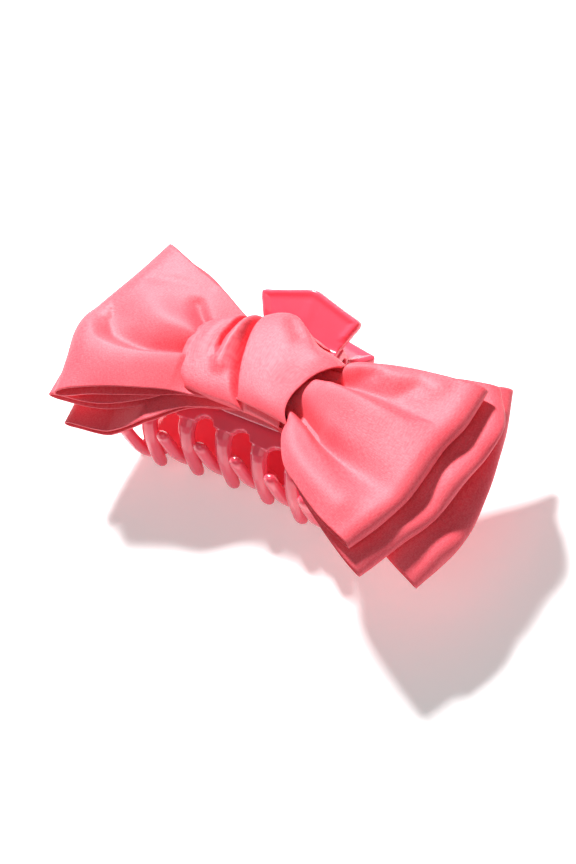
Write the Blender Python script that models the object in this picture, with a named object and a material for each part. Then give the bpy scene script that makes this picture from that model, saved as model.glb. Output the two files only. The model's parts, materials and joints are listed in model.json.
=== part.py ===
"""Claw hair clip with a three-layer satin bow.

Two moulded jaws turn on a steel pin and are closed by a torsion spring.  The clip lies on its
back: the rear jaw's flat land rests on the ground and the bow, glued to the front jaw, faces up.
X runs along the hinge, +Y points to the thumb paddles and -Y to the teeth.  The origin is the
middle of the rear jaw's flat land.  Shapes are worked out about the hinge axis, then parented to
an empty that stands on that axis.
"""
import math

import bmesh
import bpy
from mathutils import Vector

# Jaws: sizes in metres, measured from the hinge axis unless a line says otherwise
TOOTH_PITCH = 0.0125          # between neighbouring teeth of one jaw
FRONT_TEETH = 5
REAR_TEETH = FRONT_TEETH + 1  # the rear teeth close into the gaps on both sides of the front ones
TOOTH_SHARE = 0.53            # width of a tooth's root over the pitch
TOOTH_THICKNESS = 0.0046
TOOTH_TAPER = 0.70            # width of the tip over width of the root
JAW_REACH = 0.0450            # hinge axis to the middle tooth tips
TOOTH_CROSSING = 0.0098       # how far a tooth reaches past the middle plane
ROW_DROOP = 0.00054           # how much further each tooth reaches than the middle, per pitch squared
JAW_HALF_DEPTH = 0.0148       # hinge axis to the flat outer land
SHELL_WALL = 0.0022
SHOULDER = 0.0170             # hinge axis to the corner where the land begins
SLOT_TOP = 0.0375             # hinge axis to the top of the arches between the teeth
LAND_MARGIN = 0.0020          # from the land's far corner to the arches
NECK_START = 0.0045           # hinge axis to where the wall begins to widen towards the teeth
NECK_FLARE = 0.0145           # length over which it widens
NECK_LEAN = 0.0006            # from the hinge axis to the neck's highest point
ROOT_FILLET = 0.0060          # wall's bend into the teeth
SHOULDER_FILLET = 0.0110      # wall's bend at the shoulder
NECK_FILLET = 0.0030          # wall's bend over the hinge
WALL_PAST_ARCH = 0.0020       # wall's end beyond the top of the arches
WALL_END_DROP = 0.0013        # and how far it curves in there
ROOT_INSIDE = 0.0015          # how far a tooth's root runs back inside the wall
ROOT_DROP = 0.0014            # a tooth root below the middle of the wall, so that it stays under the land
TOOTH_THINNING = 0.25         # share of its thickness that a tooth loses towards the tip
TIP_ROUND_START = 0.92        # share of the tooth's length where its round tip begins
DROOP_START = 0.0060          # hinge axis to where the ends of the jaw begin to hang
ROOT_LAP = 0.0003             # how far a tooth's root swells over the wall on each side
ARCH_MARGIN = 0.0010          # shell left beside the outermost front teeth
REAR_MARGIN = 0.0030          # and beside the outermost rear teeth

# Hinge
HINGE_WIDTH = 0.0278
KNUCKLE_RADIUS = 0.0023
KNUCKLE_LENGTH = 0.0034
HINGE_CLEARANCE = 0.0003      # between parts that turn against each other
NECK_INSET = 0.0007           # the wall's neck is this much narrower than the knuckles at each end
PIN_RADIUS = 0.0008
PIN_CLEARANCE = 0.0003
PIN_RECESS = 0.0010           # pin end below the outer face of its knuckle
WIRE_RADIUS = 0.0003
COIL_RADIUS = 0.0016          # to the middle of the wire
COIL_WIDTH = 0.0062
COIL_TURNS = 5
SPRING_LEG = 0.0090

# Thumb paddles
PADDLE_ANGLE = math.radians(31.5)   # between a paddle and the middle plane
PADDLE_WIDTH = 0.0366
PADDLE_CORNER = 0.0118        # along the paddle, hinge to the drooping corners
PADDLE_PEAK = 0.0164          # along the paddle, hinge to the middle of its top edge
PADDLE_ROUND = 0.0024         # how far its outer corners are rounded in
PADDLE_ROUND_START = 0.72     # share of the paddle's length where that rounding begins

# Bow, glued to the front jaw's land
GAP = 0.0003                  # between pieces that touch
BOW_X = 0.0080                # middle of the knot, from the middle of the hinge
BOW_Y = -0.0245
GLUE_LENGTH = 0.0280
GLUE_WIDTH = 0.0100
GLUE_THICKNESS = 0.0007
BACKING_LENGTH = 0.0300
BACKING_WIDTH = 0.0220
BACKING_THICKNESS = 0.0010
GLUE_CORNER = 0.0045
BACKING_CORNER = 0.0060
KNOT_LENGTH = 0.0330          # along the bow
KNOT_HEIGHT = 0.0296          # across the bow
KNOT_WALL = 0.0012
KNOT_CROWN = 0.0010           # how much the knot swells in the middle
KNOT_CORNER = 0.0030
THREAD_CORNER = 0.0009
THREAD_RADIUS = 0.00025
THREAD_TURNS = 3
THREAD_SPACING = 0.0008
WAIST_THICKNESS = 0.0013      # of one bow layer where it is gathered

# Each bow layer: end corners about the middle of the knot, middle height of its ends above the
# hinge axis, and thickness of its ends.  Corners run left top, left bottom, right bottom, right top.
TOP_CORNERS = ((-0.0520, 0.0295), (-0.0550, -0.0285), (0.0510, -0.0375), (0.0610, 0.0185))
TOP_END_HEIGHT = 0.0265
TOP_END_THICKNESS = 0.0060
MIDDLE_CORNERS = ((-0.0550, 0.0305), (-0.0600, -0.0275), (0.0540, -0.0415), (0.0605, 0.0240))
MIDDLE_END_HEIGHT = 0.0185
MIDDLE_END_THICKNESS = 0.0050
BOTTOM_CORNERS = ((-0.0540, 0.0270), (-0.0560, -0.0295), (0.0660, -0.0355), (0.0610, 0.0285))
BOTTOM_END_HEIGHT = 0.0100
BOTTOM_END_THICKNESS = 0.0045
END_BULGE = 0.0050            # how far the middle of a right end stands out past its corners
END_ROUND_START = 0.9         # share of a loop's length where its end begins to round off
DROOP_RATE = 2.2              # how late along a loop it leaves the waist's height for its end's
DROOP_JAW = 0.03225           # half length of the jaw that this rate clears
PUFF_LEAD = 0.2               # a loop thickens this much sooner than it changes height
EDGE_SHARE = 0.45             # thickness at a layer's long edges over that of its middle

# Fineness of round shapes
TOOTH_SIDES = 10
SHELL_COLUMNS = 13
FILLET_STEPS = 5
ROUND_SIDES = 20

# Places that follow from the sizes above
TOOTH_WIDTH = TOOTH_PITCH * TOOTH_SHARE
SLOT_RADIUS = (TOOTH_PITCH - TOOTH_WIDTH) / 2 + ROOT_LAP
LAND_FAR = SLOT_TOP - LAND_MARGIN
NECK_RISE = KNUCKLE_RADIUS + HINGE_CLEARANCE + SHELL_WALL / 2
JAW_HALF_LENGTH = FRONT_TEETH * TOOTH_PITCH / 2 + ARCH_MARGIN
LOOP_DROOP = DROOP_RATE * (JAW_HALF_LENGTH / DROOP_JAW) ** 2
HINGE_Y = (LAND_FAR + SHOULDER) / 2
HINGE_Z = JAW_HALF_DEPTH
GLUE_BASE = JAW_HALF_DEPTH + GAP
BACKING_BASE = GLUE_BASE + GLUE_THICKNESS + GAP
KNOT_BASE = BACKING_BASE + BACKING_THICKNESS + GAP
STACK_BASE = KNOT_BASE + KNOT_WALL + 2 * THREAD_RADIUS + 2 * GAP
LAYER_STEP = WAIST_THICKNESS + GAP
STACK_TOP = STACK_BASE + 3 * WAIST_THICKNESS + 2 * GAP
KNOT_TOP = STACK_TOP + 2 * THREAD_RADIUS + 2 * GAP + KNOT_WALL
WAIST_HALF = KNOT_HEIGHT / 2 - KNOT_WALL - 2 * THREAD_RADIUS - 2 * GAP

PLASTIC = ((1.0, 0.145, 0.185, 1.0), 0.16, 0.0)
STEEL = ((0.62, 0.62, 0.64, 1.0), 0.28, 1.0)
SATIN = ((0.93, 0.30, 0.34, 1.0), 0.45, 0.0)
FELT = ((0.86, 0.24, 0.30, 1.0), 0.9, 0.0)
GLUE = ((0.85, 0.80, 0.72, 1.0), 0.35, 0.0)
THREAD = ((0.88, 0.22, 0.28, 1.0), 0.7, 0.0)


def clear_scene():
    """Remove every object that the file opened with."""
    for old in list(bpy.data.objects):
        bpy.data.objects.remove(old, do_unlink=True)


def make_material(name, finish):
    """A Principled material from a colour, a roughness and a metallic value."""
    color, roughness, metallic = finish
    material = bpy.data.materials.new(name)
    material.use_nodes = True
    shader = material.node_tree.nodes["Principled BSDF"]
    shader.inputs["Base Color"].default_value = color
    shader.inputs["Roughness"].default_value = roughness
    shader.inputs["Metallic"].default_value = metallic
    material.diffuse_color = color
    return material


def add_object(name, bm, axis, finish=None):
    """Put a bmesh in a new object on the hinge axis; a piece without a finish is a cutter."""
    bmesh.ops.recalc_face_normals(bm, faces=bm.faces)
    mesh = bpy.data.meshes.new(name)
    bm.to_mesh(mesh)
    bm.free()
    piece = bpy.data.objects.new(name, mesh)
    bpy.context.collection.objects.link(piece)
    piece.parent = axis
    if finish:
        mesh.materials.append(make_material(name, finish))
        mesh.shade_smooth()
        mesh.set_sharp_from_angle(angle=math.radians(35))
    else:
        piece.hide_render = True
        piece.display_type = "WIRE"
    return piece


def boolean(piece, operation, other):
    """Join a guide to a piece, or cut the guide's shape out of it."""
    step = piece.modifiers.new(other.name, "BOOLEAN")
    step.operation = operation
    step.solver = "EXACT"
    step.object = other


def strip_cap(bm, ring):
    """Close the end of a flat tube whose ring runs out along one face and back along the other."""
    for k in range(len(ring) // 2 - 1):
        bm.faces.new((ring[k], ring[k + 1], ring[-k - 2], ring[-k - 1]))


def bridge_rings(bm, rings, closed=False, strips=False):
    """Skin between rings of equal length; the ends are capped unless the rings close on themselves."""
    count = len(rings[0])
    spans = list(zip(rings, rings[1:]))
    if closed:
        spans.append((rings[-1], rings[0]))
    for low, high in spans:
        for i in range(count):
            j = (i + 1) % count
            bm.faces.new((low[i], low[j], high[j], high[i]))
    if strips:
        strip_cap(bm, rings[0])
        strip_cap(bm, rings[-1])
    elif not closed:
        bm.faces.new(rings[0])
        bm.faces.new(list(reversed(rings[-1])))


def smooth_step(value):
    """Ease from 0 to 1."""
    value = min(max(value, 0.0), 1.0)
    return value * value * (3 - 2 * value)


def curve_through(points, steps):
    """A smooth curve through the given points, with steps stretches between each two."""
    points = [Vector(p) for p in points]
    padded = [2 * points[0] - points[1]] + points + [2 * points[-1] - points[-2]]
    curve = []
    for a, b, c, d in zip(padded, padded[1:], padded[2:], padded[3:]):
        for k in range(steps):
            t = k / steps
            curve.append(0.5 * (2 * b + (c - a) * t + (2 * a - 5 * b + 4 * c - d) * t ** 2
                                + (3 * b - a - 3 * c + d) * t ** 3))
    curve.append(points[-1])
    return curve


def round_corner(before, corner, after, radius):
    """Points of the arc that rounds one corner of a path."""
    into = (before - corner).normalized()
    out = (after - corner).normalized()
    half = into.angle(out) / 2
    cut = radius / math.tan(half)
    start = corner + into * cut
    end = corner + out * cut
    centre = corner + (into + out).normalized() * radius / math.sin(half)
    arc = []
    for k in range(FILLET_STEPS + 1):
        t = k / FILLET_STEPS
        mixed = (start - centre).lerp(end - centre, t).normalized()
        arc.append(centre + mixed * radius)
    return arc


# ---------------------------------------------------------------- jaws

def shell_path():
    """Middle line of a jaw's wall, from the tooth roots over the land and neck to the paddle."""
    middle = JAW_HALF_DEPTH - SHELL_WALL / 2
    root = Vector((-SLOT_TOP - WALL_PAST_ARCH, middle - WALL_END_DROP))
    far = Vector((-LAND_FAR, middle))
    near = Vector((-SHOULDER, middle))
    neck = Vector((-NECK_LEAN, NECK_RISE))
    paddle = neck + PADDLE_PEAK * Vector((math.cos(PADDLE_ANGLE), math.sin(PADDLE_ANGLE)))
    path = [root]
    path += round_corner(root, far, near, ROOT_FILLET)
    path += round_corner(far, near, neck, SHOULDER_FILLET)
    path += round_corner(near, neck, paddle, NECK_FILLET)
    return path, neck


def jaw_half_width(y, row_half):
    """Half the width of a jaw's wall at a distance along Y."""
    spread = smooth_step((-y - NECK_START) / NECK_FLARE)
    neck_half = HINGE_WIDTH / 2 - NECK_INSET
    return neck_half + (row_half - neck_half) * spread


def droop(x, y):
    """How far the ends of the jaw hang below its middle."""
    weight = smooth_step((-y - DROOP_START) / (SLOT_TOP - DROOP_START))
    return ROW_DROOP * (x / TOOTH_PITCH) ** 2 * weight


def jaw_wall(row_half):
    """The curved wall of one jaw and its paddle, as one closed sheet of even thickness."""
    path, neck = shell_path()
    along = Vector((math.cos(PADDLE_ANGLE), math.sin(PADDLE_ANGLE)))
    last = (path[-1] - neck).length
    stations = []
    for i, point in enumerate(path):
        after = path[min(i + 1, len(path) - 1)]
        before = path[max(i - 1, 0)]
        heading = (after - before).normalized() if i < len(path) - 1 else along
        stations.append((point, heading, None))
    for t in (0.25, 0.5, PADDLE_ROUND_START, 0.85, 0.94, 1.0):
        stations.append((neck, along, t))
    bm = bmesh.new()
    rings = []
    for point, heading, share in stations:
        normal = Vector((-heading.y, heading.x))
        outer, inner = [], []
        for k in range(SHELL_COLUMNS + 1):
            u = 2 * k / SHELL_COLUMNS - 1
            if share is None:
                x = u * jaw_half_width(point.x, row_half)
                centre = point
            else:
                neck_half = HINGE_WIDTH / 2 - NECK_INSET
                past = max(share - PADDLE_ROUND_START, 0) / (1 - PADDLE_ROUND_START)
                rounding = PADDLE_ROUND * (1 - math.sqrt(1 - past ** 2))
                x = u * (neck_half + (PADDLE_WIDTH / 2 - neck_half) * share - rounding)
                reach = PADDLE_CORNER + (PADDLE_PEAK - PADDLE_CORNER) * (1 - abs(u)) ** 1.1
                centre = neck + along * (last + (reach - last) * share)
            sag = droop(x, centre.x)
            for side, row in ((1, outer), (-1, inner)):
                place = centre + normal * side * SHELL_WALL / 2
                row.append(bm.verts.new((x, place.x - sag, place.y)))
        rings.append(outer + list(reversed(inner)))
    bridge_rings(bm, rings, strips=True)
    return bm


def tooth_places(count):
    """X of each tooth of a row."""
    return [(i - (count - 1) / 2) * TOOTH_PITCH for i in range(count)]


def jaw_teeth(count):
    """A row of separate curved teeth that taper to round tips."""
    middle = JAW_HALF_DEPTH - SHELL_WALL / 2
    path = curve_through((
        (-SLOT_TOP + ROOT_INSIDE, middle - ROOT_DROP),
        (-SLOT_TOP - WALL_PAST_ARCH, middle - ROOT_DROP - WALL_END_DROP),
        (-JAW_REACH + 0.0036, middle * 0.67),
        (-JAW_REACH + 0.0014, middle * 0.26),
        (-JAW_REACH + 0.0004, -0.35 * TOOTH_CROSSING),
        (-JAW_REACH, -TOOTH_CROSSING)), 20)
    last = len(path) - 1
    stations = [TIP_ROUND_START * k / 9 for k in range(10)]
    stations += [TIP_ROUND_START + (1 - TIP_ROUND_START) * math.sin(math.pi / 2 * k / 5) for k in range(1, 6)]
    bm = bmesh.new()
    for x in tooth_places(count):
        rings = []
        for share in stations:
            k = round(share * last)
            point = path[k]
            heading = (path[min(k + 1, last)] - path[max(k - 1, 0)]).normalized()
            normal = Vector((-heading.y, heading.x))
            past = max(share - TIP_ROUND_START, 0) / (1.004 - TIP_ROUND_START)
            swell = math.sqrt(1 - past ** 2)
            wide = TOOTH_WIDTH / 2 * (1 - (1 - TOOTH_TAPER) * share ** 0.6) * swell
            thick = TOOTH_THICKNESS / 2 * (1 - TOOTH_THINNING * share) * swell
            ring = []
            for s in range(TOOTH_SIDES):
                turn = 2 * math.pi * s / TOOTH_SIDES
                place = point + normal * thick * math.sin(turn)
                sag = ROW_DROOP * (x / TOOTH_PITCH) ** 2
                ring.append(bm.verts.new((x + wide * math.cos(turn), place.x - sag, place.y)))
            rings.append(ring)
        bridge_rings(bm, rings)
    return bm


def slot_cutters(count):
    """Round-topped prisms that cut the gaps between the teeth out of the wall."""
    bm = bmesh.new()
    teeth = tooth_places(count)
    for left, right in zip(teeth, teeth[1:]):
        x = (left + right) / 2
        top = -SLOT_TOP - ROW_DROOP * (x / TOOTH_PITCH) ** 2
        outline = []
        for k in range(9):
            turn = math.pi * k / 8
            outline.append((x + SLOT_RADIUS * math.cos(turn),
                            top - SLOT_RADIUS + SLOT_RADIUS * math.sin(turn)))
        outline.append((x - SLOT_RADIUS, top - 0.02))
        outline.append((x + SLOT_RADIUS, top - 0.02))
        low = [bm.verts.new((px, py, 0.004)) for px, py in outline]
        high = [bm.verts.new((px, py, JAW_HALF_DEPTH + 0.006)) for px, py in outline]
        bridge_rings(bm, [low, high])
    return bm


def knuckle_blocks(spans):
    """Hinge knuckles: round below, running up into the jaw's neck."""
    bm = bmesh.new()
    for low_x, high_x in spans:
        outline = []
        for k in range(ROUND_SIDES + 1):
            turn = math.pi * (1 + k / ROUND_SIDES)
            outline.append((KNUCKLE_RADIUS * math.cos(turn), KNUCKLE_RADIUS * math.sin(turn)))
        outline.append((KNUCKLE_RADIUS * 0.9, NECK_RISE + SHELL_WALL * 0.2))
        outline.append((-KNUCKLE_RADIUS * 0.9, NECK_RISE + SHELL_WALL * 0.2))
        low = [bm.verts.new((low_x, y, z)) for y, z in outline]
        high = [bm.verts.new((high_x, y, z)) for y, z in outline]
        bridge_rings(bm, [low, high])
    return bm


def cylinder_x(radius, length, sides=ROUND_SIDES):
    """A cylinder along X, centred on the hinge."""
    bm = bmesh.new()
    rings = []
    for x in (-length / 2, length / 2):
        rings.append([bm.verts.new((x, radius * math.cos(2 * math.pi * k / sides),
                                    radius * math.sin(2 * math.pi * k / sides)))
                      for k in range(sides)])
    bridge_rings(bm, rings)
    return bm


def mirrored(bm):
    """Turn a front-jaw shape over to the rear jaw's side."""
    for vert in bm.verts:
        vert.co.z = -vert.co.z
    return bm


def make_jaw(name, axis, teeth, margin, knuckle_spans, flip):
    """One moulded jaw: wall and paddle, slots, teeth, knuckles and the pin's bore."""
    turn_over = mirrored if flip else (lambda bm: bm)
    row_half = (teeth - 1) / 2 * TOOTH_PITCH + TOOTH_WIDTH / 2 + margin
    jaw = add_object(name, turn_over(jaw_wall(row_half)), axis, PLASTIC)
    slots = add_object(name + "_slots", turn_over(slot_cutters(teeth)), axis)
    row = add_object(name + "_teeth", turn_over(jaw_teeth(teeth)), axis)
    knuckles = add_object(name + "_knuckles", turn_over(knuckle_blocks(knuckle_spans)), axis)
    bore = add_object(name + "_bore", cylinder_x(PIN_RADIUS + PIN_CLEARANCE, 0.06), axis)
    boolean(jaw, "DIFFERENCE", slots)
    boolean(jaw, "UNION", knuckles)
    boolean(jaw, "UNION", row)
    boolean(jaw, "DIFFERENCE", bore)
    return jaw


def both_ends(low_x, high_x):
    """A stretch of the hinge and its match on the other side."""
    return [(low_x, high_x), (-high_x, -low_x)]


# ---------------------------------------------------------------- hinge

def tube_along(points, radius, sides):
    """A round wire through the points, capped at both ends."""
    bm = bmesh.new()
    rings = []
    side = Vector((1, 0, 0))
    for k, point in enumerate(points):
        heading = (points[min(k + 1, len(points) - 1)] - points[max(k - 1, 0)]).normalized()
        side = (side - heading * side.dot(heading)).normalized()
        up = heading.cross(side)
        rings.append([bm.verts.new(point + radius * (side * math.cos(2 * math.pi * s / sides)
                                                     + up * math.sin(2 * math.pi * s / sides)))
                      for s in range(sides)])
    bridge_rings(bm, rings)
    return bm


def make_spring(axis):
    """Torsion spring: a coil round the pin and a leg on the inside of each paddle."""
    leave = math.pi / 2 + PADDLE_ANGLE
    turned = 2 * math.pi * COIL_TURNS - 2 * leave
    steps = 14 * COIL_TURNS
    coil = []
    for k in range(steps + 1):
        share = k / steps
        turn = -leave - turned * share
        coil.append(Vector((COIL_WIDTH * (share - 0.5), COIL_RADIUS * math.cos(turn),
                            COIL_RADIUS * math.sin(turn))))
    leg = SPRING_LEG * Vector((0, math.cos(PADDLE_ANGLE), math.sin(PADDLE_ANGLE)))
    rear_leg = Vector((0, leg.y, -leg.z))
    points = [coil[0] + rear_leg, coil[0] + rear_leg * 0.5] + coil + [coil[-1] + leg * 0.5, coil[-1] + leg]
    return add_object("torsion_spring", tube_along(points, WIRE_RADIUS, 8), axis, STEEL)


# ---------------------------------------------------------------- bow

def rounded_plate(length, width, base, thickness, corner):
    """A flat plate with round corners under the middle of the bow."""
    bm = bmesh.new()
    outline = []
    for cx, cy, first in ((1, 1, 0), (-1, 1, 1), (-1, -1, 2), (1, -1, 3)):
        for k in range(6):
            turn = math.pi / 2 * (first + k / 5)
            outline.append((BOW_X + cx * (length / 2 - corner) + corner * math.cos(turn),
                            BOW_Y + cy * (width / 2 - corner) + corner * math.sin(turn)))
    low = [bm.verts.new((x, y, base)) for x, y in outline]
    high = [bm.verts.new((x, y, base + thickness)) for x, y in outline]
    bridge_rings(bm, [low, high])
    return bm


def bow_layer(name, axis, corners, end_height, end_thickness, waist_base):
    """One bow layer as a plain solid: flat and gathered in the knot, puffed at both ends."""
    left_top, left_bottom, right_bottom, right_top = [Vector(c) for c in corners]
    waist_middle = waist_base + WAIST_THICKNESS / 2
    inside = KNOT_LENGTH / 2
    bm = bmesh.new()
    rings = []
    sections = [(-1, s) for s in (1, 0.97, 0.86, 0.7, 0.54, 0.38, 0.24, 0.1, 0)]
    sections += [(1, s) for s in (0, 0.1, 0.24, 0.38, 0.54, 0.7, 0.86, 0.97, 1)]
    rows = 8
    for side, share in sections:
        top, bottom = (left_top, left_bottom) if side < 0 else (right_top, right_bottom)
        waist_top = Vector((side * inside, WAIST_HALF))
        waist_bottom = Vector((side * inside, -WAIST_HALF))
        flare = share ** 0.85
        upper = Vector((waist_top.x + (top.x - waist_top.x) * share,
                        waist_top.y + (top.y - waist_top.y) * flare))
        lower = Vector((waist_bottom.x + (bottom.x - waist_bottom.x) * share,
                        waist_bottom.y + (bottom.y - waist_bottom.y) * flare))
        middle = waist_middle + (end_height - waist_middle) * share ** LOOP_DROOP
        past = max(share - END_ROUND_START, 0) / (1.01 - END_ROUND_START)
        taper = math.sqrt(1 - past ** 2)
        thick = (WAIST_THICKNESS + (end_thickness - WAIST_THICKNESS) * share ** (LOOP_DROOP - PUFF_LEAD)) * taper
        front, back = [], []
        for k in range(rows + 1):
            v = k / rows
            edge = EDGE_SHARE + (1 - EDGE_SHARE) * math.sin(math.pi * v)
            place = lower.lerp(upper, v)
            if side > 0:
                place.x += END_BULGE * math.sin(math.pi * v) * share ** 3
            half = thick / 2 * (edge if share > 0.05 else 1)
            front.append(bm.verts.new((BOW_X + place.x, BOW_Y + place.y, middle + half)))
            back.append(bm.verts.new((BOW_X + place.x, BOW_Y + place.y, middle - half)))
        rings.append(front + list(reversed(back)))
    bridge_rings(bm, rings, strips=True)
    return add_object(name, bm, axis, SATIN)


def waist_loop(half_y, base, top, corner, steps):
    """Points round the gathered waist, as a rounded rectangle in Y and Z."""
    points = []
    for cy, cz, first in ((1, 1, 0), (-1, 1, 1), (-1, -1, 2), (1, -1, 3)):
        for k in range(steps + 1):
            turn = math.pi / 2 * (first + k / steps)
            z_middle = top - corner if cz > 0 else base + corner
            points.append((BOW_Y + cy * (half_y - corner) + corner * math.cos(turn),
                           z_middle + corner * math.sin(turn)))
    return points


def make_knot(axis):
    """The wide band wrapped round the waist, open at both ends and slightly crowned."""
    bm = bmesh.new()
    stations = 6
    rings = []
    for k in range(stations + 1):
        u = 2 * k / stations - 1
        swell = KNOT_CROWN * (1 - u * u)
        outer = waist_loop(KNOT_HEIGHT / 2, KNOT_BASE, KNOT_TOP + swell, KNOT_CORNER, 4)
        inner = waist_loop(KNOT_HEIGHT / 2 - KNOT_WALL, KNOT_BASE + KNOT_WALL, KNOT_TOP - KNOT_WALL,
                           KNOT_CORNER - KNOT_WALL, 4)
        x = BOW_X + u * KNOT_LENGTH / 2
        rings.append(([bm.verts.new((x, y, z)) for y, z in outer],
                      [bm.verts.new((x, y, z)) for y, z in inner]))
    count = len(rings[0][0])
    for (out_a, in_a), (out_b, in_b) in zip(rings, rings[1:]):
        for i in range(count):
            j = (i + 1) % count
            bm.faces.new((out_a[i], out_a[j], out_b[j], out_b[i]))
            bm.faces.new((in_a[j], in_a[i], in_b[i], in_b[j]))
    for out_ring, in_ring in (rings[0], rings[-1]):
        for i in range(count):
            j = (i + 1) % count
            bm.faces.new((out_ring[j], out_ring[i], in_ring[i], in_ring[j]))
    return add_object("knot_wrap", bm, axis, SATIN)


def make_thread(axis):
    """Binding thread: one length wound tight round the gathered waist, under the knot."""
    clear = THREAD_RADIUS + GAP
    loop = waist_loop(WAIST_HALF + clear, STACK_BASE - clear, STACK_TOP + clear, THREAD_CORNER, 4)
    count = len(loop)
    points = []
    for k in range(THREAD_TURNS * count):
        y, z = loop[k % count]
        x = BOW_X + (k / count - THREAD_TURNS / 2) * THREAD_SPACING
        points.append(Vector((x, y, z)))
    return add_object("waist_thread", tube_along(points, THREAD_RADIUS, 6), axis, THREAD)


def build():
    """Make every piece about one empty on the hinge axis."""
    clear_scene()
    axis = bpy.data.objects.new("hinge_axis", None)
    axis.location = (0, HINGE_Y, HINGE_Z)
    bpy.context.collection.objects.link(axis)

    outer_end = HINGE_WIDTH / 2
    outer_start = outer_end - KNUCKLE_LENGTH
    inner_end = outer_start - HINGE_CLEARANCE
    inner_start = inner_end - KNUCKLE_LENGTH
    make_jaw("rear_jaw", axis, REAR_TEETH, REAR_MARGIN, both_ends(inner_start, inner_end), True)
    make_jaw("front_jaw", axis, FRONT_TEETH, ARCH_MARGIN, both_ends(outer_start, outer_end), False)
    add_object("hinge_pin", cylinder_x(PIN_RADIUS, HINGE_WIDTH - 2 * PIN_RECESS), axis, STEEL)
    make_spring(axis)

    glue = rounded_plate(GLUE_LENGTH, GLUE_WIDTH, GLUE_BASE, GLUE_THICKNESS, GLUE_CORNER)
    add_object("glue_pad", glue, axis, GLUE)
    backing = rounded_plate(BACKING_LENGTH, BACKING_WIDTH, BACKING_BASE, BACKING_THICKNESS, BACKING_CORNER)
    add_object("felt_backing", backing, axis, FELT)
    bow_layer("bow_bottom_layer", axis, BOTTOM_CORNERS, BOTTOM_END_HEIGHT, BOTTOM_END_THICKNESS, STACK_BASE)
    bow_layer("bow_middle_layer", axis, MIDDLE_CORNERS, MIDDLE_END_HEIGHT, MIDDLE_END_THICKNESS,
              STACK_BASE + LAYER_STEP)
    bow_layer("bow_top_layer", axis, TOP_CORNERS, TOP_END_HEIGHT, TOP_END_THICKNESS,
              STACK_BASE + 2 * LAYER_STEP)
    make_thread(axis)
    make_knot(axis)


build()
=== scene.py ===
"""A claw hair clip in coral plastic with a three-layer satin bow, lying on its back."""
import json
import math

import bpy
import numpy as np
from mathutils import Matrix, Vector

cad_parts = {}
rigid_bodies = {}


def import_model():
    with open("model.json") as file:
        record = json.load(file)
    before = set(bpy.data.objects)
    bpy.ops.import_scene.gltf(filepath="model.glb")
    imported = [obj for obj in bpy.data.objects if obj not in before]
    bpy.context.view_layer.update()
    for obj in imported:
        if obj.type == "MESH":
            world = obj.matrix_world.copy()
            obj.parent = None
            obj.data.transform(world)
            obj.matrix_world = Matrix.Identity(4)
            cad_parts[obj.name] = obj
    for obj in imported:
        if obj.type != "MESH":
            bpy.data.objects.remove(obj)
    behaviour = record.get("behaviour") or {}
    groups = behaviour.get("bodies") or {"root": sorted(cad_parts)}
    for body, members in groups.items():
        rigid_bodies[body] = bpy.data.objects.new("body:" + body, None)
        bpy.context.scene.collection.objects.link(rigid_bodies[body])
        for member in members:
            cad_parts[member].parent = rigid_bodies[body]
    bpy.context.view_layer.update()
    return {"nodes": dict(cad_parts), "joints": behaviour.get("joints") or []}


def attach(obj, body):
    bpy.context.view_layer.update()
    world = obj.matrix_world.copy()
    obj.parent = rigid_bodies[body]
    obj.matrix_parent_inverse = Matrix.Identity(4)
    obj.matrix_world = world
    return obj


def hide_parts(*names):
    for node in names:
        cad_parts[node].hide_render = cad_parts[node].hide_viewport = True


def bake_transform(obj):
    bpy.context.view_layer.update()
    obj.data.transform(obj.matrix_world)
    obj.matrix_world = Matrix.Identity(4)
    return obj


for old in list(bpy.data.objects):
    bpy.data.objects.remove(old)
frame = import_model()

# ---------------------------------------------------------------------------
# The two halves of the clip turn about the hinge pin.  Every place below is
# taken from that axis: millimetres right, towards the paddles, and up.
hinge = Vector(frame["joints"][0]["pos_m"])
MM = 0.001


def at(x, y, z):
    """A place given in millimetres from the middle of the hinge."""
    return hinge + Vector((x, y, z)) * MM


# ---------------------------------------------------------------------------
# Jaws: two halves of glossy coral plastic, each moulded in one shot with its
# teeth, knuckles and thumb paddle.  The mould leaves every edge rounded.
def fibre_noise(tree, vector, scale, detail):
    """A plain noise texture on a vector."""
    grain = tree.nodes.new("ShaderNodeTexNoise")
    grain.inputs["Scale"].default_value = scale
    grain.inputs["Detail"].default_value = detail
    tree.links.new(vector, grain.inputs["Vector"])
    return grain.outputs["Fac"]


def ranged(tree, value, low, high):
    """Spread the middle of a noise's range between two values."""
    span = tree.nodes.new("ShaderNodeMapRange")
    span.inputs["From Min"].default_value = 0.3
    span.inputs["From Max"].default_value = 0.7
    span.inputs["To Min"].default_value = low
    span.inputs["To Max"].default_value = high
    tree.links.new(value, span.inputs["Value"])
    return span.outputs["Result"]


def new_material(name):
    """An empty material and its shader."""
    material = bpy.data.materials.new(name)
    material.use_nodes = True
    shader = material.node_tree.nodes["Principled BSDF"]
    return material, material.node_tree, shader


def two_tone(tree, shader, factor, low, high):
    """Colour a shader between two close shades."""
    tint = tree.nodes.new("ShaderNodeMix")
    tint.data_type = "RGBA"
    tint.inputs["A"].default_value = (*low, 1)
    tint.inputs["B"].default_value = (*high, 1)
    tree.links.new(factor, tint.inputs["Factor"])
    tree.links.new(tint.outputs["Result"], shader.inputs["Base Color"])


def bumped(tree, shader, height, strength, distance):
    """Raise a shader's surface by a height."""
    bump = tree.nodes.new("ShaderNodeBump")
    bump.inputs["Strength"].default_value = strength
    bump.inputs["Distance"].default_value = distance
    tree.links.new(height, bump.inputs["Height"])
    tree.links.new(bump.outputs["Normal"], shader.inputs["Normal"])


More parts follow.
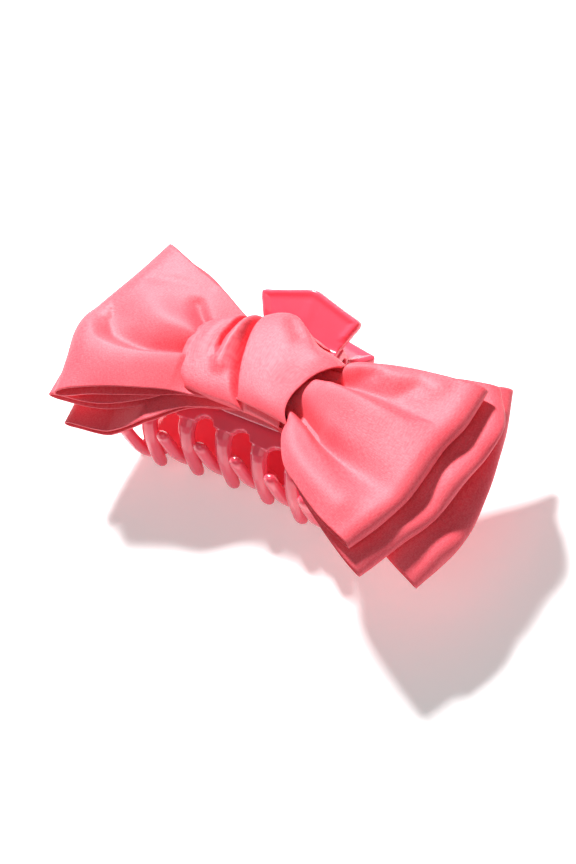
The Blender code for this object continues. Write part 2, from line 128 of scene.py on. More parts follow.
coral, tree, shader = new_material("coral_plastic")
place = tree.nodes.new("ShaderNodeTexCoord")
cloud = fibre_noise(tree, place.outputs["Object"], 90, 2)
two_tone(tree, shader, cloud, (0.90, 0.085, 0.140), (0.92, 0.100, 0.160))
handled = fibre_noise(tree, place.outputs["Object"], 260, 4)
tree.links.new(ranged(tree, handled, 0.15, 0.23), shader.inputs["Roughness"])
bumped(tree, shader, fibre_noise(tree, place.outputs["Object"], 420, 3), 0.12, 0.0002)
shader.inputs["Subsurface Weight"].default_value = 0.12
shader.inputs["Subsurface Radius"].default_value = (1.0, 0.25, 0.2)
shader.inputs["Subsurface Scale"].default_value = 0.0015
shader.inputs["Coat Weight"].default_value = 0.35
shader.inputs["Coat Roughness"].default_value = 0.08


def finish_modifier(piece, kind, **settings):
    """Add one modifier to a piece and apply it."""
    bpy.ops.object.select_all(action="DESELECT")
    piece.select_set(True)
    bpy.context.view_layer.objects.active = piece
    step = piece.modifiers.new(kind.lower(), kind)
    for key, value in settings.items():
        setattr(step, key, value)
    bpy.ops.object.modifier_apply(modifier=step.name)


def copy_of(node, name):
    """A merged copy of a CAD node, as a piece of its own."""
    bpy.ops.object.select_all(action="DESELECT")
    piece = bpy.data.objects.new(name, frame["nodes"][node].data.copy())
    bpy.context.scene.collection.objects.link(piece)
    piece.select_set(True)
    bpy.context.view_layer.objects.active = piece
    bpy.ops.object.mode_set(mode="EDIT")
    bpy.ops.mesh.select_all(action="SELECT")
    bpy.ops.mesh.remove_doubles(threshold=0.00002)
    bpy.ops.object.mode_set(mode="OBJECT")
    piece.data.materials.clear()
    return piece


def softened_copy(node, name, voxel, rounds):
    """A copy of a CAD node with its edges rounded off."""
    piece = copy_of(node, name)
    finish_modifier(piece, "REMESH", mode="VOXEL", voxel_size=voxel)
    finish_modifier(piece, "SMOOTH", factor=0.5, iterations=rounds)
    return piece


# The thumb paddle in millimetres from the hinge: its lean, the height of its top edge and how far
# that falls to the corners, half its width, and the half width and slope of its flanks at their foot.
PADDLE_LEAN = math.radians(31.5)
PADDLE_TOP, CORNER_FALL, PADDLE_HALF = 18.4, 5.2, 18.3
FLANK_HALF, FLANK_FOOT, FLANK_SLOPE = 13.3, 3.0, 0.47
RIM_RISE, RIM_INSET, RIM_WIDTH = 0.55, 1.6, 1.3
SPINE_RISE, SPINE_WIDTH = 0.18, 1.6


def moulded_jaw(node, name, body, side):
    """One jaw with rounded moulded edges; side is 1 for the upper jaw and -1 for the lower."""
    jaw = softened_copy(node, name, 0.00030, 6)
    count = len(jaw.data.vertices)
    place = np.empty(count * 3)
    jaw.data.vertices.foreach_get("co", place)
    place = (place.reshape(-1, 3) - np.array(hinge)) / MM
    along = place[:, 1] * math.cos(PADDLE_LEAN) + side * place[:, 2] * math.sin(PADDLE_LEAN)
    top = PADDLE_TOP - CORNER_FALL * (np.abs(place[:, 0]) / PADDLE_HALF) ** 1.1
    flank = FLANK_HALF + (along - FLANK_FOOT) * FLANK_SLOPE
    inside = np.minimum(top - along, flank - np.abs(place[:, 0]))
    on_paddle = jaw.vertex_groups.new(name="paddle_edge")
    near = np.clip(1.5 - inside / 2.2, 0, 1) * np.clip((along - 6.5) / 2, 0, 1)
    for index in np.nonzero(near > 0)[0]:
        on_paddle.add([int(index)], float(near[index]), "REPLACE")
    finish_modifier(jaw, "SMOOTH", factor=0.5, iterations=22, vertex_group="paddle_edge")
    flat = np.empty(count * 3)
    jaw.data.vertices.foreach_get("co", flat)
    place = (flat.reshape(-1, 3) - np.array(hinge)) / MM
    normal = np.array((0, -math.sin(PADDLE_LEAN), side * math.cos(PADDLE_LEAN)))
    level = place @ normal
    middle = np.median(level[(along > 9) & (inside > 3)])
    rim = np.exp(-((inside - RIM_INSET) / RIM_WIDTH) ** 2) * np.clip((along - 5.5) / 2, 0, 1)
    spine = np.exp(-(place[:, 0] / SPINE_WIDTH) ** 2) * np.clip((along - 6) / 3, 0, 1)
    spine = spine * np.clip((inside - 2) / 3, 0, 1)
    grow = np.tanh((level - middle) / 0.5) * (RIM_RISE * rim + SPINE_RISE * spine)
    place = place + grow[:, None] * normal
    jaw.data.vertices.foreach_set("co", (place * MM + np.array(hinge)).ravel())
    jaw.data.update()
    jaw.data.materials.append(coral)
    jaw.data.shade_smooth()
    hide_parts(node)
    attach(jaw, body)


moulded_jaw("rear_jaw", "rear_claw", "rear_half", -1)
moulded_jaw("front_jaw", "front_claw", "front_half", 1)

# ---------------------------------------------------------------------------
# Hinge pin and torsion spring: bright drawn steel.  The coil sits on the pin
# between the inner knuckles and each leg presses on the inside of a paddle.
steel, tree, shader = new_material("drawn_steel")
place = tree.nodes.new("ShaderNodeTexCoord")
shader.inputs["Base Color"].default_value = (0.60, 0.60, 0.62, 1)
shader.inputs["Metallic"].default_value = 1.0
tree.links.new(ranged(tree, fibre_noise(tree, place.outputs["Object"], 900, 3), 0.22, 0.38),
               shader.inputs["Roughness"])
frame["nodes"]["hinge_pin"].data.materials.clear()
frame["nodes"]["hinge_pin"].data.materials.append(steel)


def wire_mesh(name, points, radius, material):
    """A round wire along the points, as a mesh with its place in its vertices."""
    curve = bpy.data.curves.new(name + "_path", "CURVE")
    curve.dimensions = "3D"
    curve.bevel_depth = radius
    curve.bevel_resolution = 4
    curve.use_fill_caps = True
    spline = curve.splines.new("POLY")
    spline.points.add(len(points) - 1)
    for knot, point in zip(spline.points, points):
        knot.co = (*point, 1)
    guide = bpy.data.objects.new(name + "_path", curve)
    bpy.context.scene.collection.objects.link(guide)
    mesh = bpy.data.meshes.new_from_object(guide)
    bpy.data.objects.remove(guide)
    piece = bpy.data.objects.new(name, mesh)
    bpy.context.scene.collection.objects.link(piece)
    mesh.materials.clear()
    mesh.materials.append(material)
    mesh.shade_smooth()
    return piece


COIL_RADIUS, COIL_HALF, COIL_TURNS, COIL_STEPS = 1.6, 3.1, 5, 160
WIRE_RADIUS = 0.3 * MM
LEG_PLACES = (9.0, 6.0, 3.0, 1.2)
leave = math.pi / 2 + PADDLE_LEAN
turned = 2 * math.pi * COIL_TURNS - 2 * leave
leg = [Vector((0, math.cos(PADDLE_LEAN), math.sin(PADDLE_LEAN))) * s for s in LEG_PLACES]
coil = []
for k in range(COIL_STEPS + 1):
    turn = -leave - turned * k / COIL_STEPS
    across = COIL_HALF * (2 * k / COIL_STEPS - 1)
    coil.append(Vector((across, COIL_RADIUS * math.cos(turn), COIL_RADIUS * math.sin(turn))))
wire = [coil[0] + Vector((0, d.y, -d.z)) for d in leg] + coil + [coil[-1] + d for d in reversed(leg)]
spring = wire_mesh("closing_spring", [at(*p) for p in wire], WIRE_RADIUS, steel)
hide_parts("torsion_spring")
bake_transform(spring)

# ---------------------------------------------------------------------------
# Glue and backing: a squeezed pad of set glue holds a felt patch to the jaw,
# and the bow is sewn and glued to the felt.
glue, tree, shader = new_material("set_glue")
place = tree.nodes.new("ShaderNodeTexCoord")
shader.inputs["Base Color"].default_value = (0.85, 0.78, 0.66, 1)
shader.inputs["Coat Weight"].default_value = 0.2
tree.links.new(ranged(tree, fibre_noise(tree, place.outputs["Object"], 500, 3), 0.25, 0.5),
               shader.inputs["Roughness"])
pad = softened_copy("glue_pad", "glue_squeeze", 0.00018, 6)
pad.data.materials.append(glue)
pad.data.shade_smooth()
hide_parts("glue_pad")
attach(pad, "front_half")

felt, tree, shader = new_material("pink_felt")
place = tree.nodes.new("ShaderNodeTexCoord")
fluff = fibre_noise(tree, place.outputs["Object"], 1800, 6)
two_tone(tree, shader, fluff, (0.72, 0.13, 0.19), (0.95, 0.30, 0.36))
bumped(tree, shader, fluff, 0.8, 0.0003)
shader.inputs["Roughness"].default_value = 0.95
shader.inputs["Sheen Weight"].default_value = 0.6
patch = softened_copy("felt_backing", "felt_patch", 0.00022, 4)
patch.data.materials.append(felt)
patch.data.shade_smooth()
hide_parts("felt_backing")
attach(patch, "front_half")

# ---------------------------------------------------------------------------
# Satin: one cloth for the three bow layers and the knot.  Fine slubby yarns
# run both ways, and the face has a soft sheen.
weave = bpy.data.node_groups.new("satin_weave", "ShaderNodeTree")
weave.interface.new_socket("Vector", in_out="INPUT", socket_type="NodeSocketVector")
weave.interface.new_socket("Height", in_out="OUTPUT", socket_type="NodeSocketFloat")
weave.interface.new_socket("Shade", in_out="OUTPUT", socket_type="NodeSocketFloat")
entry = weave.nodes.new("NodeGroupInput")
outlet = weave.nodes.new("NodeGroupOutput")
yarns = []
for stretch in ((2600, 800, 1), (900, 2900, 1)):
    run = weave.nodes.new("ShaderNodeVectorMath")
    run.operation = "MULTIPLY"
    run.inputs[1].default_value = stretch
    weave.links.new(entry.outputs["Vector"], run.inputs[0])
    yarns.append(fibre_noise(weave, run.outputs["Vector"], 1.0, 2))
both = weave.nodes.new("ShaderNodeMath")
both.operation = "ADD"
weave.links.new(yarns[0], both.inputs[0])
weave.links.new(yarns[1], both.inputs[1])
half = weave.nodes.new("ShaderNodeMath")
half.operation = "MULTIPLY"
half.inputs[1].default_value = 0.5
weave.links.new(both.outputs["Value"], half.inputs[0])
weave.links.new(half.outputs["Value"], outlet.inputs["Height"])
broad = fibre_noise(weave, entry.outputs["Vector"], 60, 3)
blend_in = weave.nodes.new("ShaderNodeMath")
blend_in.operation = "MULTIPLY_ADD"
blend_in.inputs[1].default_value = 0.35
weave.links.new(broad, blend_in.inputs[0])
weave.links.new(half.outputs["Value"], blend_in.inputs[2])
weave.links.new(blend_in.outputs["Value"], outlet.inputs["Shade"])

satin, tree, shader = new_material("coral_satin")
cloth_map = tree.nodes.new("ShaderNodeUVMap")
cloth_map.uv_map = "cloth"
cloth = tree.nodes.new("ShaderNodeGroup")
cloth.node_tree = weave
tree.links.new(cloth_map.outputs["UV"], cloth.inputs["Vector"])
ramp = tree.nodes.new("ShaderNodeMapRange")
ramp.inputs["From Min"].default_value = 0.56
ramp.inputs["From Max"].default_value = 0.80
tree.links.new(cloth.outputs["Shade"], ramp.inputs["Value"])
two_tone(tree, shader, ramp.outputs["Result"], (0.92, 0.085, 0.118), (0.98, 0.150, 0.185))
bumped(tree, shader, cloth.outputs["Height"], 0.8, 0.00015)
shader.inputs["Roughness"].default_value = 0.54
shader.inputs["Specular IOR Level"].default_value = 0.8
shader.inputs["Specular Tint"].default_value = (1.0, 0.50, 0.56, 1)
shader.inputs["Sheen Weight"].default_value = 0.05
shader.inputs["Sheen Roughness"].default_value = 0.35
shader.inputs["Sheen Tint"].default_value = (1.0, 0.75, 0.75, 1)

# ---------------------------------------------------------------------------
# Bow layers: each is a band of satin folded flat into two loops, gathered at
# the waist, with soft folds at its outer ends and its long edges left open.
def curve_points(points, t):
    """Places on a smooth curve through given points, for t from 0 to 1."""
    p = np.array(points, float)
    p = np.vstack([2 * p[0] - p[1], p, 2 * p[-1] - p[-2]])
    spans = len(points) - 1
    i = np.clip((t * spans).astype(int), 0, spans - 1)
    f = (t * spans - i)[..., None]
    a, b, c, d = p[i], p[i + 1], p[i + 2], p[i + 3]
    return 0.5 * (2 * b + (c - a) * f + (2 * a - 5 * b + 4 * c - d) * f ** 2
                  + (3 * b - a - 3 * c + d) * f ** 3)


def spread_patch(lower, upper, start, end, u, v):
    """A patch between four curves: u runs from start to end and v from lower to upper."""
    low, high = curve_points(lower, u), curve_points(upper, u)
    first, last = curve_points(start, v), curve_points(end, v)
    u, v = u[..., None], v[..., None]
    corners = ((1 - u) * (1 - v) * np.array(lower[0], float) + u * (1 - v) * np.array(lower[-1], float)
               + (1 - u) * v * np.array(upper[0], float) + u * v * np.array(upper[-1], float))
    return (1 - v) * low + v * high + (1 - u) * first + u * last - corners


def fold_line(x, y, points, left, right, height):
    """Height that one fold adds along a smooth line: a ridge, or a valley where it is below 0.

    left and right are its widths on either side and height its height, each a list from start to end."""
    steps = 24
    line = curve_points(points, np.linspace(0, 1, steps + 1))
    best = np.full(x.shape, 1e9)
    rise = np.zeros(x.shape)
    for k in range(steps):
        (ax, ay), (dx, dy) = line[k], line[k + 1] - line[k]
        t = np.clip(((x - ax) * dx + (y - ay) * dy) / (dx * dx + dy * dy), 0, 1)
        off_x, off_y = x - ax - t * dx, y - ay - t * dy
        away = np.hypot(off_x, off_y)
        share = (k + t) / steps
        on_left = np.interp(share, np.linspace(0, 1, len(left)), left)
        on_right = np.interp(share, np.linspace(0, 1, len(right)), right)
        wide = np.where(dx * off_y - dy * off_x > 0, on_left, on_right)
        tall = np.interp(share, np.linspace(0, 1, len(height)), height)
        rise = np.where(away < best, tall * np.exp(-(away / wide) ** 2), rise)
        best = np.minimum(best, away)
    return rise


def soft_waves(x, y, seed, size):
    """Slow random swells over a surface, about 1 high, from a few sine waves."""
    random = np.random.default_rng(seed)
    total = np.zeros(x.shape)
    for _ in range(6):
        angle, phase = random.uniform(0, 2 * math.pi, 2)
        pace = 2 * math.pi / (size * random.uniform(0.7, 1.6))
        total += np.sin((x * math.cos(angle) + y * math.sin(angle)) * pace + phase)
    return total / 3


# Grid steps out along a loop, round its end fold and back; the shares of a loop's length in which it
# fills out and in which its folds come free beside the knot; the size of the swells on either side.
OUT_STEPS, END_STEPS, BACK_STEPS = 90, 24, 40
FILL_SHARE, FREE_SHARE = 0.16, 0.10
FRONT_SWELLS, BACK_SWELLS = 22, 17
LAYER_CLOTH = 0.4 * MM


def loop_grid(side, rows):
    """One half of a layer as a grid: out over the front sheet, round the end fold and back below."""
    rest = 1 - side["end_share"]
    turn = np.linspace(0, math.pi, END_STEPS + 1)
    u = np.concatenate([np.linspace(0, rest, OUT_STEPS, endpoint=False),
                        rest + side["end_share"] * np.sin(turn),
                        np.linspace(rest, 0, BACK_STEPS + 1)[1:]])
    face = np.concatenate([np.ones(OUT_STEPS), np.cos(turn), -np.ones(BACK_STEPS)])
    u, v = np.meshgrid(u, np.linspace(0, 1, rows))
    face = np.broadcast_to(face, u.shape)
    root = (side["lower"][0], side["upper"][0])
    place = spread_patch(side["lower"], side["upper"], root, side["end"], u, v)
    x, y = place[..., 0], place[..., 1]
    middle = np.interp(u, np.linspace(0, 1, len(side["height"])), side["height"])
    past = np.clip(u - side["knot_share"], 0, 1)
    grown = 1 - np.exp(-(past / FILL_SHARE) ** 1.2)
    freed = np.clip(past / FREE_SHARE, 0, 1) ** 0.8
    edge = 1 - side["edge_drop"] * (2 * np.abs(v - 0.5)) ** 6
    up = side["gather"] + (side["puff"] - side["gather"]) * grown
    down = side["gather"] + (side["sag"] - side["gather"]) * grown
    half = np.where(face > 0, up * edge, down) * face
    front = np.clip(0.5 + 0.5 * face, 0, 1)
    relief = sum(fold_line(x, y, *line) for line in side["folds"])
    swell = side["swell"] * soft_waves(x, y, side["seed"], FRONT_SWELLS) * (0.3 + 0.7 * u)
    back_swell = side["swell"] * 1.4 * soft_waves(x, y, side["seed"] + 50, BACK_SWELLS) * u
    z = middle + half + (relief * (0.15 + 0.85 * front) + swell * front) * freed + back_swell * (1 - front)
    return np.stack([x, y, z], axis=-1)


def cloth_object(name, grid, thickness, size):
    """A closed sleeve of satin from a grid of places in millimetres, with a cloth map in metres."""
    rows, count = grid.shape[:2]
    verts = (grid.reshape(-1, 3) * MM + np.array(hinge)).tolist()
    faces, maps = [], []
    for j in range(rows - 1):
        for i in range(count):
            k = (i + 1) % count
            faces.append((j * count + i, j * count + k, (j + 1) * count + k, (j + 1) * count + i))
            for a, b in ((i, j), (i + 1, j), (i + 1, j + 1), (i, j + 1)):
                maps.append((a / count * size[1], b / (rows - 1) * size[0]))
    mesh = bpy.data.meshes.new(name)
    mesh.from_pydata(verts, [], faces)
    cloth_map = mesh.uv_layers.new(name="cloth")
    cloth_map.data.foreach_set("uv", np.array(maps).ravel())
    piece = bpy.data.objects.new(name, mesh)
    bpy.context.scene.collection.objects.link(piece)
    finish_modifier(piece, "SOLIDIFY", thickness=thickness, offset=0.0, use_rim=True)
    piece.data.materials.append(satin)
    piece.data.shade_smooth()
    return piece


def bow_layer(name, node, left, right, rows):
    """One whole layer: round its right loop, back through the waist, and round its left loop."""
    right_half = loop_grid(right, rows)
    left_half = loop_grid(left, rows)[:, ::-1]
    both_halves = np.concatenate([right_half, left_half], axis=1)
    layer = cloth_object(name, both_halves, LAYER_CLOTH, (0.056, 0.232))
    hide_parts(node)
    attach(layer, "front_half")


GATHERED = dict(gather=0.35, edge_drop=0.25)
bow_layer("bow_bottom", "bow_bottom_layer",
          dict(GATHERED, knot_share=0.24,
               lower=((8, -34.5), (-9, -40), (-20, -48.5), (-32, -53.5), (-48, -55)),
               upper=((8, -13.5), (-10, -10), (-30, -2), (-48, 7)),
               end=((-48, -55), (-50, -40), (-50, -20), (-48, 7)),
               height=(20.4, 20.2, 19.0, 12.6, 10.4), end_share=0.05, puff=1.5, sag=1.0,
               swell=0.35, seed=3, folds=()),
          dict(GATHERED, knot_share=0.08,
               lower=((8, -34.5), (24, -38), (45, -47), (63, -56), (74, -60)),
               upper=((8, -14.5), (28, -17), (48, -8), (69, 4)),
               end=((74, -60), (77, -52), (79, -43), (78, -28), (74, -10), (69, 4)),
               height=(20.4, 20.2, 18.5, 15.0, 10.5), end_share=0.05, puff=1.8, sag=1.6,
               swell=0.5, seed=4,
               folds=((((84, -40), (68, -35), (46, -28)), (5.0, 7.0), (5.0, 7.0), (-0.9, -0.4)),
                      (((84, -52), (68, -46), (46, -37)), (5.0, 7.0), (5.0, 7.0), (0.7, 0.3)))),
          rows=90)
bow_layer("bow_middle", "bow_middle_layer",
          dict(GATHERED, knot_share=0.24,
               lower=((8, -34.5), (-12, -37), (-21, -43), (-34, -49), (-52, -52)),
               upper=((8, -13.5), (-7, -9), (-19, -3), (-30, 2), (-47, 6)),
               end=((-52, -52), (-54, -38), (-54, -25), (-51, -8), (-47, 6)),
               height=(21.9, 21.8, 21.0, 19.8, 18.5), end_share=0.05, puff=1.7, sag=1.7,
               swell=0.5, seed=7, folds=()),
          dict(GATHERED, knot_share=0.08,
               lower=((8, -34.5), (22, -37), (32, -49), (44, -57), (55, -63), (62, -66)),
               upper=((8, -13.5), (28, -15), (45, -8), (58, -4), (69, -1)),
               end=((62, -66), (68, -53), (72, -43), (75, -26), (76, -12), (69, -1)),
               height=(21.9, 21.8, 21.0, 19.8, 18.6), end_share=0.07, puff=1.9, sag=1.6,
               swell=0.4, seed=8,
               folds=((((60, -22), (82, -23)), (3.5, 3.5), (3.5, 3.5), (-0.5, -0.6)),
                      (((60, -30), (80, -33)), (4.0, 4.0), (4.0, 4.0), (0.5, 0.6)),
                      (((58, -38), (78, -43)), (3.5, 3.5), (3.5, 3.5), (-0.6, -0.7)),
                      (((57, -47), (76, -53)), (3.5, 3.5), (3.5, 3.5), (0.6, 0.7)))),
          rows=90)
bow_layer("bow_top", "bow_top_layer",
          dict(GATHERED, knot_share=0.24,
               lower=((8, -34.5), (-10, -38), (-23, -43), (-36, -48), (-47, -53)),
               upper=((8, -13.5), (-7, -9), (-19, -3.8), (-32, 0.4), (-44, 5)),
               end=((-47, -53), (-50, -42), (-53, -32), (-52, -22), (-48, -10), (-44, 5)),
               height=(23.3, 23.4, 23.8, 24.2, 24.0), end_share=0.15, puff=3.2, sag=1.4,
               swell=0.25, seed=11,
               folds=((((-54, -27), (-47, -32), (-43, -34.5), (-36, -35), (-28, -34), (-20, -31), (-12, -27)),
                       (3.5, 3.0, 2.6, 2.2), (10, 11, 9, 7), (1.6, 2.6, 3.2, 2.4)),
                      (((-44, -26), (-40, -30.5), (-35, -31.5), (-28, -31), (-21, -28.5), (-15, -26)),
                       (6, 5, 3.5, 2.5), (2.2, 1.6, 1.3, 1.2), (-1.0, -1.6, -2.8, -3.2)),
                      (((-40, -13), (-32, -18.5), (-25, -20.5), (-12, -20)),
                       (8, 6, 5, 4), (8, 6, 4, 3), (0.9, 1.4, 1.7, 1.8)),
                      (((-22, -12), (-19, -15), (-15, -18)), (2.2, 2.0), (2.6, 2.0), (-1.2, -2.6)),
                      (((-40, -9), (-31, -7), (-22, -6)), (1.6, 1.6), (2.4, 2.0), (-0.35, -0.25)))),
          dict(GATHERED, knot_share=0.08,
               lower=((8, -34.5), (22, -34), (25, -41), (30, -48), (36, -52), (47, -58), (58, -62)),
               upper=((8, -14.5), (27, -18), (31, -13.5), (37, -11), (50, -8), (69, -6)),
               end=((58, -62), (62, -54), (65, -45), (66, -38), (67, -26), (69, -17), (69, -6)),
               height=(23.3, 23.4, 23.8, 24.2, 24.2), end_share=0.055, puff=3.0, sag=1.4,
               swell=0.25, seed=12,
               folds=((((22, -24), (26, -22.5), (36, -22.5), (47, -23.5), (54, -24.5), (63, -26)),
                       (1.4, 1.8, 2.6, 4.0), (7, 8, 8, 7), (3.4, 3.2, 2.0, 1.1, 0.3)),
                      (((22, -20), (28, -19.5), (37, -19.5), (48, -20.5), (56, -21.5)),
                       (1.8, 3.0, 4.0, 4.0), (1.0, 1.4, 2.0, 2.0), (-4.0, -3.4, -1.8, -0.6)),
                      (((21, -30.5), (30, -35), (36, -38.2), (44, -41), (52, -43), (60, -45)),
                       (2.5, 3.0, 4.5, 4.5), (0.9, 0.9, 1.8, 4.0, 4.0), (-4.0, -4.6, -3.2, -1.6, -0.5)),
                      (((23, -34), (29, -42), (38, -48), (50, -53)),
                       (3.5, 4.5, 5.0), (4.0, 5.0), (1.6, 1.8, 1.4)),
                      (((27, -16.5), (34, -13.5), (44, -12), (57, -11)),
                       (3.0, 3.0), (3.0, 3.5), (1.8, 1.0, 0.8)),
                      (((36, -15.5), (39, -14)), (2.2, 2.2), (2.2, 2.2), (-0.9, -0.9)),
                      (((49, -16), (52, -13)), (2.6, 2.6), (2.6, 2.6), (-0.8, -0.8)))),
          rows=110)

# ---------------------------------------------------------------------------
# Knot: a wide piece of the same satin wrapped over the waist.  Its left part
# is pleated, and a smooth turn of it laps over from the right.
# Millimetres: the middle of the waist, the width in which an edge tucks in, and the size of the swells.
WAIST_MIDDLE = -24.0
TUCK_WIDTH = 1.6
KNOT_SWELLS = 16
KNOT_STEPS = 180
KNOT_CLOTH = 0.5 * MM


def knot_sheet(name, lower, upper, left, right, levels, tuck, under, back, folds, rows, swell, seed,
               flat):
    """One turn of the knot: four given edges bound its front, and its back closes below the waist."""
    turn = np.linspace(0, 2 * math.pi, KNOT_STEPS, endpoint=False)
    w, turn = np.meshgrid(np.linspace(0, 1, rows), turn, indexing="ij")
    c, s = np.cos(turn), np.sin(turn)
    side = np.sign(c) * np.abs(c) ** 0.62
    level = np.sign(s) * np.abs(s) ** 0.66
    front = np.clip(s, 0, 1) ** 0.4
    place = spread_patch(lower, upper, left, right, w, 0.5 + 0.5 * side)
    back_x = back[0] + (back[1] - back[0]) * w
    back_y = WAIST_MIDDLE + np.where(side < 0, under[0], under[1]) * side
    x = back_x + (place[..., 0] - back_x) * front
    y = back_y + (place[..., 1] - back_y) * np.clip(0.5 + s * 1.2, 0, 1)
    z_low, z_high = levels[0], levels[1] + levels[2] * np.sin(math.pi * w)
    z = (z_low + z_high) / 2 + (z_high - z_low) / 2 * level
    width = place[-1, 0, 0] - place[0, 0, 0]
    near_edge = np.minimum(w, 1 - w) * width
    z = z - tuck * np.clip(1 - near_edge / TUCK_WIDTH, 0, 1) ** 2 * np.clip(s, 0, 1) ** 0.5
    relief = sum(fold_line(x, y, *line) for line in folds)
    z = z + (relief + swell * soft_waves(x, y, seed, KNOT_SWELLS)) * front
    knot = cloth_object(name, np.stack([x, y, z], axis=-1), KNOT_CLOTH, flat)
    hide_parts("knot_wrap")
    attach(knot, "front_half")


knot_sheet("knot_pleats",
           lower=((-10, -36.8), (-1, -37.3), (10, -37.3), (22, -38.6)),
           upper=((-14, -13), (-8, -9.5), (-4, -7), (0, -5), (7, -5), (14, -9)),
           left=((-10, -36.8), (-14, -33.5), (-17, -28), (-18, -22), (-17, -17), (-14, -13)),
           right=((22, -38.6), (20, -30), (17, -18), (14, -9)),
           levels=(18.4, 26.9, 0.6), tuck=0.6, under=(11.2, 13.5), back=(-13, 21),
           folds=((((-4, -5), (-6.5, -11), (-7.5, -16), (-8, -20), (-6.5, -24)),
                   (0.9, 0.8, 0.5), (0.6, 0.5, 0.5), (-1.4, -3.6, -4.4, -3.6, -0.8)),
                  (((-1.5, -5), (-1.8, -12), (-0.5, -18), (2, -26), (5.5, -33), (9, -37)),
                   (1.4, 1.2, 1.0), (1.8, 1.6, 1.2), (-3.6, -4.2, -3.4, -3.2, -2.6)),
                  (((-8, -9), (-11, -15), (-12, -22), (-11, -30)),
                   (3.0, 3.0), (3.0, 3.0), (0.8, 1.0, 0.8, 0.3)),
                  (((-2, -7), (-4.5, -14), (-5, -21), (-3.5, -27)),
                   (1.8, 2.4), (1.6, 2.0), (1.0, 1.4, 1.6, 1.2)),
                  (((-6, -26), (-4, -29)), (1.6, 1.6), (1.6, 1.6), (0.6, 0.4))),
           rows=90, swell=0.12, seed=21, flat=(0.026, 0.090))
knot_sheet("knot_over",
           lower=((9, -35.8), (13, -36.7), (18, -37.2), (23.5, -37.8)),
           upper=((-1.5, -7), (2, -5), (7, -4.5), (12, -7), (19, -11.5), (26, -13), (30, -15)),
           left=((9, -35.8), (6.0, -32), (3, -26), (1, -20), (-0.6, -14), (-1.5, -7)),
           right=((23.5, -37.8), (22, -33.5), (22, -28), (24, -22), (27, -18), (30, -15)),
           levels=(20.0, 28.8, 1.0), tuck=0.1, under=(8.5, 12.5), back=(3, 28),
           folds=((((9, -8), (14, -11.5)), (2.2, 2.4), (2.2, 2.4), (-0.8, -1.0)),
                  (((14, -9), (22, -16)), (2.6, 2.6), (2.6, 2.6), (0.5, 0.3))),
           rows=90, swell=0.15, seed=22, flat=(0.022, 0.088))

# ---------------------------------------------------------------------------
# Binding thread: three turns of twisted polyester wound tight round the
# gathered waist to hold the three layers together, hidden by the knot.
thread, tree, shader = new_material("binding_thread")
place = tree.nodes.new("ShaderNodeTexCoord")
shader.inputs["Roughness"].default_value = 0.7
twist = fibre_noise(tree, place.outputs["Object"], 3000, 4)
two_tone(tree, shader, twist, (0.62, 0.08, 0.13), (0.9, 0.2, 0.26))
THREAD_TURNS, TURN_STEPS, THREAD_SPACING, THREAD_RADIUS = 3, 48, 0.8, 0.25 * MM
WAIST_X, WAIST_LEVEL, WAIST_HALF_WIDTH, WAIST_HALF_DEPTH = 6.8, 21.9, 10.9, 2.5
WAIST_SQUARENESS = 0.3
winding = []
for k in range(THREAD_TURNS * TURN_STEPS + 1):
    turn = 2 * math.pi * k / TURN_STEPS
    c, s = math.cos(turn), math.sin(turn)
    winding.append(at(WAIST_X + THREAD_SPACING * k / TURN_STEPS,
                      WAIST_MIDDLE + WAIST_HALF_WIDTH * math.copysign(abs(c) ** WAIST_SQUARENESS, c),
                      WAIST_LEVEL + WAIST_HALF_DEPTH * math.copysign(abs(s) ** WAIST_SQUARENESS, s)))
binding = wire_mesh("waist_binding", winding, THREAD_RADIUS, thread)
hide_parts("waist_thread")
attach(binding, "front_half")

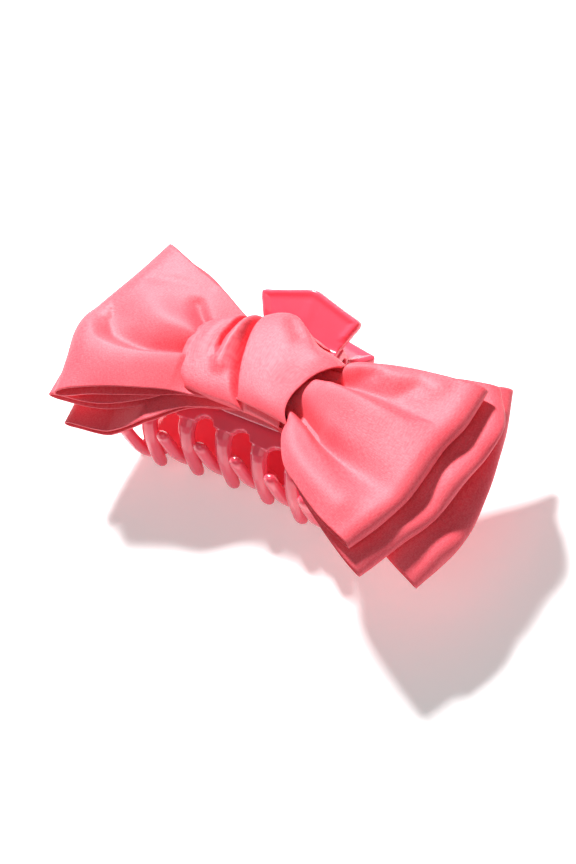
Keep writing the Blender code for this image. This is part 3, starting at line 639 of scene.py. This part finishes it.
# ---------------------------------------------------------------------------
# Floor, light and camera: a plain pale table, one small bright lamp from the
# upper left for the shading, and a large weak one and a pale world to fill.
bpy.ops.object.select_all(action="DESELECT")
bpy.ops.mesh.primitive_plane_add(size=6, location=(0, 0, 0))
floor = bpy.context.object
floor.name = "studio_floor"
pale, tree, shader = new_material("pale_floor")
shader.inputs["Base Color"].default_value = (0.93, 0.93, 0.93, 1)
shader.inputs["Roughness"].default_value = 0.7
shader.inputs["Emission Color"].default_value = (1.0, 0.99, 0.985, 1)
shader.inputs["Emission Strength"].default_value = 0.25
floor.data.materials.append(pale)


def area_light(name, place_from_clip, size, power):
    """A soft square lamp aimed at the clip."""
    data = bpy.data.lights.new(name, "AREA")
    data.shape = "SQUARE"
    data.size = size
    data.energy = power
    lamp = bpy.data.objects.new(name, data)
    bpy.context.scene.collection.objects.link(lamp)
    lamp.location = hinge + Vector(place_from_clip)
    aim = at(6, -22, 10) - lamp.location
    lamp.rotation_euler = aim.to_track_quat("-Z", "Y").to_euler()


area_light("key_light", (-0.45, 0.36, 0.76), 0.12, 18.0)
area_light("fill_light", (0.30, -0.70, 0.85), 0.9, 2.6)
world = bpy.data.worlds.new("studio")
bpy.context.scene.world = world
world.use_nodes = True
world.node_tree.nodes["Background"].inputs["Color"].default_value = (1, 1, 1, 1)
world.node_tree.nodes["Background"].inputs["Strength"].default_value = 0.14

camera_data = bpy.data.cameras.new("studio_camera")
camera_data.sensor_fit = "VERTICAL"
camera_data.sensor_height = 36
camera_data.lens = 73.7
camera = bpy.data.objects.new("studio_camera", camera_data)
bpy.context.scene.collection.objects.link(camera)
towards = Vector((0.463, -0.361, 0.810)).normalized()
across = Vector((0.827, 0.505, -0.247)).normalized()
upward = towards.cross(across).normalized()
across = upward.cross(towards).normalized()
turn = Matrix((across, upward, towards)).transposed()
camera.matrix_world = Matrix.Translation(at(245.7, -210.4, 411.2)) @ turn.to_4x4()
bpy.context.scene.camera = camera
bpy.context.scene.view_settings.view_transform = "Standard"

bpy.context.view_layer.update()
